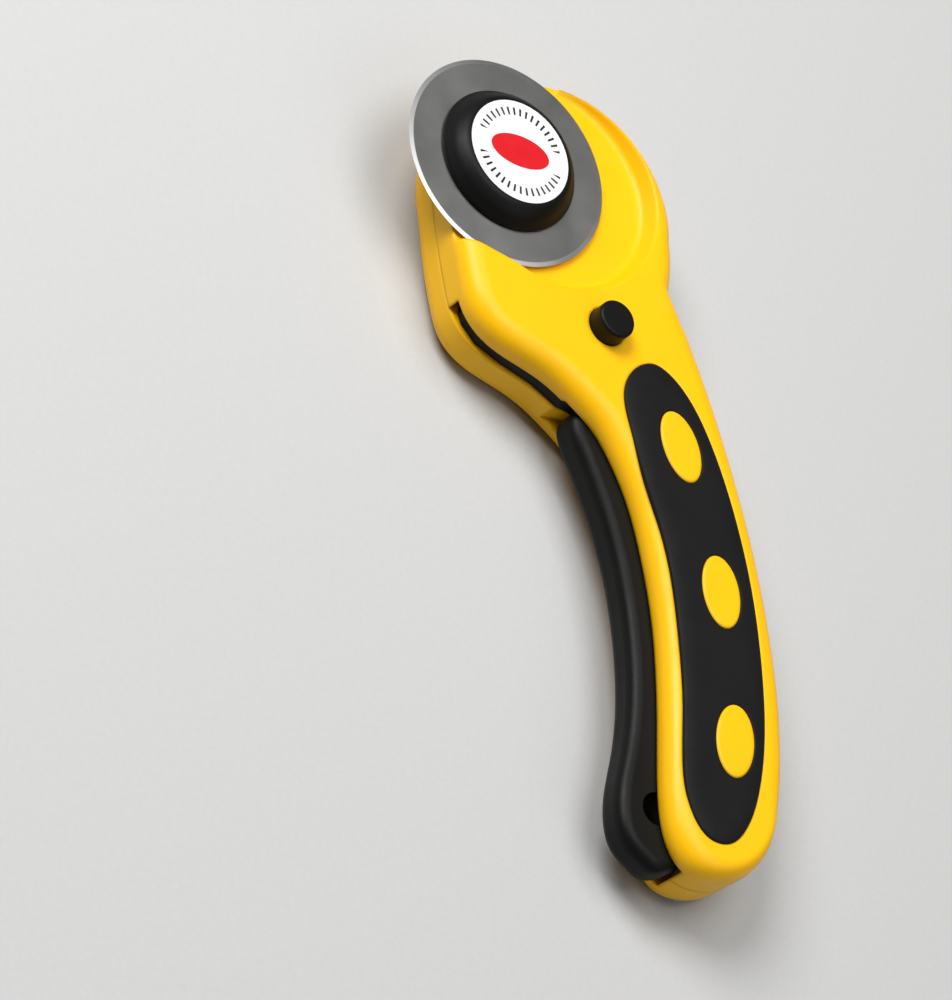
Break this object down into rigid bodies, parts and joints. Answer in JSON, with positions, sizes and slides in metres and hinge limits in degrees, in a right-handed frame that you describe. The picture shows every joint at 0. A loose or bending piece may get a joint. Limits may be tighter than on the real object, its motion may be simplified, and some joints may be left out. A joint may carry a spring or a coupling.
{
  "type": "rotary cutter",
  "caption": "Hand-held cutter for fabric: a round blade on a swinging arm, bared by squeezing a trigger along the curved handle, with a lock button and a threaded cap.",
  "frame": {"origin": "the trigger's pivot axis where it meets the flat back of the rear shell, which is the face the cutter rests on", "axes": "+Z out of the front face, along the blade, trigger and cap axes; +Y from the handle towards the cutting head; -X towards the trigger and the exposed edge of the blade"},
  "size_m": [0.0773, 0.1649, 0.022],
  "materials": {
    "yellow_shell": "moulded, satin gloss",
    "black_grip": "fine matt",
    "black_lever": "moulded, soft sheen",
    "black_knob": "moulded, satin",
    "blade_steel": "ground and lightly brushed",
    "plated_steel": "zinc plated",
    "brass": "turned",
    "friction_rubber": "moulded",
    "label": "printed film"
  },
  "bodies": {
    "housing": {"front_shell": "yellow_shell", "rear_shell": "yellow_shell", "front_grip_pad": "black_grip", "rear_grip_pad": "black_grip", "pivot_pin": "plated_steel", "trigger_spring": "plated_steel", "lock_friction_ring": "friction_rubber", "shell_screw_1": "plated_steel", "shell_screw_2": "plated_steel", "shell_screw_3": "plated_steel", "shell_screw_4": "plated_steel"},
    "trigger": {"trigger_lever": "black_lever", "pivot_bush": "brass", "blade_bolt": "plated_steel", "blade_bushing": "brass"},
    "blade": {"cutting_blade": "blade_steel"},
    "washer": {"wave_washer": "plated_steel"},
    "cap": {"cap_knob": "black_knob", "cap_insert": "brass", "cap_label": "label"},
    "lock": {"lock_button": "black_knob", "lock_rear_knob": "black_knob"}
  },
  "joints": [
    {"name": "trigger_squeeze", "type": "hinge", "parent": "housing", "child": "trigger", "pos_m": [0, 0, 0.009], "axis": [0, 0, -1], "range_deg": [0, 15.5], "deforming": ["trigger_spring"]},
    {"name": "blade_spin", "type": "hinge", "parent": "trigger", "child": "blade", "pos_m": [0.0014, 0.037, 0.01565], "axis": [0, 0, 1], "continuous": true},
    {"name": "cap_lift", "type": "slide", "parent": "trigger", "child": "washer", "axis": [0, 0, 1], "range_m": [0, 0.0025]},
    {"name": "cap_turn", "type": "hinge", "parent": "washer", "child": "cap", "pos_m": [0.0014, 0.037, 0.018], "axis": [0, 0, 1], "range_deg": [0, 905]},
    {"name": "lock_slide", "type": "slide", "parent": "housing", "child": "lock", "axis": [0, 0, -1], "range_m": [0, 0.003]}
  ],
  "couplings": [
    {"joint": "cap_turn", "follows": "cap_lift", "rad_per_m": 6283.2}
  ]
}
